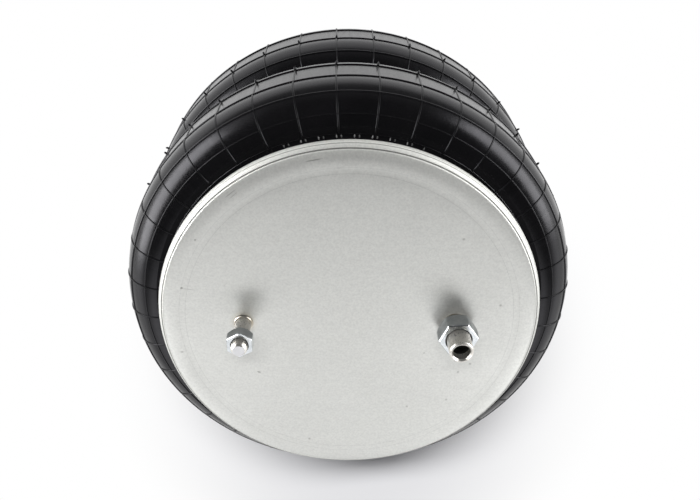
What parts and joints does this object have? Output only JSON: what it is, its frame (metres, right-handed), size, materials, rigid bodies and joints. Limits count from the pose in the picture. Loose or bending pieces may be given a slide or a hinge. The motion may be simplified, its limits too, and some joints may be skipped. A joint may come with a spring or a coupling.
{
  "type": "air bellows actuator",
  "caption": "Double convoluted rubber air bellows between two rolled-edge steel bead plates, with a girdle hoop at the waist, a blind stud and a hollow air inlet stud on top.",
  "frame": {"origin": "centre of the lower bead plate's mounting face", "axes": "+Z along the stroke, towards the studs; the blind stud is at +X and the air stud at -X"},
  "size_m": [0.3484, 0.3482, 0.2683],
  "materials": {
    "zinc_plate": "zinc plated, semi-gloss",
    "bead_wire": "bronze coated wire",
    "black_rubber": "satin moulded rubber",
    "cord_fabric": "rubberised cord",
    "liner_rubber": "smooth",
    "hoop_steel": "black paint",
    "stud_steel": "nickel plated",
    "weld_metal": "yellowish plating",
    "nut_zinc": "blue-white zinc"
  },
  "bodies": {
    "lower": {"lower_bead_plate": "zinc_plate", "lower_bead_wire": "bead_wire", "bellows_cover": "black_rubber", "outer_fabric_ply": "cord_fabric", "inner_fabric_ply": "cord_fabric", "inner_liner": "liner_rubber", "lower_blind_nut_left": "stud_steel", "lower_blind_nut_right": "stud_steel", "lower_nut_weld_left": "weld_metal", "lower_nut_weld_right": "weld_metal"},
    "girdle": {"girdle_hoop": "hoop_steel"},
    "upper": {"upper_bead_plate": "zinc_plate", "upper_bead_wire": "bead_wire", "blind_stud": "stud_steel", "blind_stud_weld": "weld_metal", "air_stud": "stud_steel", "air_stud_weld": "weld_metal"},
    "blind_nut": {"blind_stud_nut": "nut_zinc"},
    "air_nut": {"air_stud_nut": "nut_zinc"}
  },
  "joints": [
    {"name": "lower_stroke", "type": "slide", "parent": "lower", "child": "girdle", "axis": [0, 0, 1], "range_m": [-0.0665, 0.0435], "stiffness_N_per_m": 3000, "springref_m": 0.008, "deforming": ["bellows_cover", "outer_fabric_ply", "inner_fabric_ply", "inner_liner"]},
    {"name": "upper_stroke", "type": "slide", "parent": "girdle", "child": "upper", "axis": [0, 0, 1], "range_m": [-0.0665, 0.0435], "stiffness_N_per_m": 3000, "springref_m": 0.008},
    {"name": "blind_nut_run", "type": "slide", "parent": "upper", "child": "blind_nut", "axis": [0, 0, 1], "range_m": [-0.0165, 0.022]},
    {"name": "air_nut_run", "type": "slide", "parent": "upper", "child": "air_nut", "axis": [0, 0, 1], "range_m": [-0.0025, 0.036]}
  ],
  "couplings": [
    {"joint": "upper_stroke", "follows": "lower_stroke", "ratio": 1}
  ]
}
